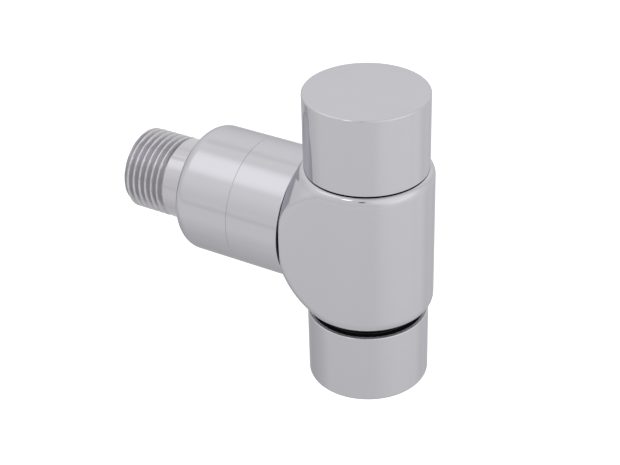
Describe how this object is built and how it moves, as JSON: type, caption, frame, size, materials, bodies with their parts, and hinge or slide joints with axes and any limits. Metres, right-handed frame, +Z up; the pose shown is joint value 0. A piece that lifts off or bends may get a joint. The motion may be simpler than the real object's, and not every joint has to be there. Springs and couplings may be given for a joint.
{
  "type": "angled radiator valve",
  "caption": "Angled radiator valve with a round handwheel, a ball-backed body, a threaded tail and plain chrome cover sleeves.",
  "frame": {"origin": "centre of the radiator thread's inner end, where the radiator's port face comes", "axes": "the tail axis is X and its thread points along -X; +Z is up along the spindle axis, which is 54.5 mm out along +X"},
  "size_m": [0.0823, 0.0324, 0.0781],
  "materials": {
    "chrome": "polished chrome plate",
    "tail_plating": "nickel plate, as turned",
    "nut_plating": "nickel plate, machined",
    "brass": "machined",
    "steel": "turned",
    "rubber": "moulded, satin",
    "black_plastic": "moulded",
    "white_plastic": "smooth"
  },
  "bodies": {
    "valve": {"valve_body": "chrome", "bonnet": "brass", "bonnet_oring": "rubber", "thrust_washer": "white_plastic", "gland_nut": "brass", "inlet_gasket": "rubber", "compression_nut": "nut_plating", "compression_olive": "brass", "pipe_cover_oring": "rubber", "tail_nipple": "tail_plating", "union_nut": "nut_plating", "union_nut_orings": "rubber", "union_oring": "rubber", "union_gasket": "rubber"},
    "handwheel": {"handwheel_shell": "chrome", "handwheel_hub": "black_plastic", "hub_clip": "steel", "spindle": "steel", "spindle_orings": "rubber"},
    "plug": {"plug_carrier": "brass", "seat_washer": "rubber", "washer_screw": "brass"},
    "pipe_cover": {"pipe_cover": "chrome"},
    "tail_cap": {"tail_cap": "chrome", "tail_cap_oring": "rubber"},
    "union_sleeve": {"union_sleeve": "chrome"}
  },
  "joints": [
    {"name": "handwheel_turn", "type": "hinge", "parent": "valve", "child": "handwheel", "pos_m": [0.0545, 0, 0.028], "axis": [0, 0, 1], "range_deg": [0, 900]},
    {"name": "plug_lift", "type": "slide", "parent": "valve", "child": "plug", "axis": [0, 0, 1], "range_m": [0, 0.00376]},
    {"name": "pipe_cover_slide", "type": "slide", "parent": "valve", "child": "pipe_cover", "axis": [0, 0, -1], "range_m": [-0.0025, 0.018]},
    {"name": "tail_cap_slide", "type": "slide", "parent": "valve", "child": "tail_cap", "axis": [-1, 0, 0], "range_m": [0, 0.0074]},
    {"name": "union_sleeve_slide", "type": "slide", "parent": "valve", "child": "union_sleeve", "axis": [-1, 0, 0], "range_m": [0, 0.0074]}
  ],
  "couplings": [
    {"joint": "plug_lift", "follows": "handwheel_turn", "m_per_rad": 0.00023873},
    {"joint": "union_sleeve_slide", "follows": "tail_cap_slide", "ratio": 1}
  ]
}
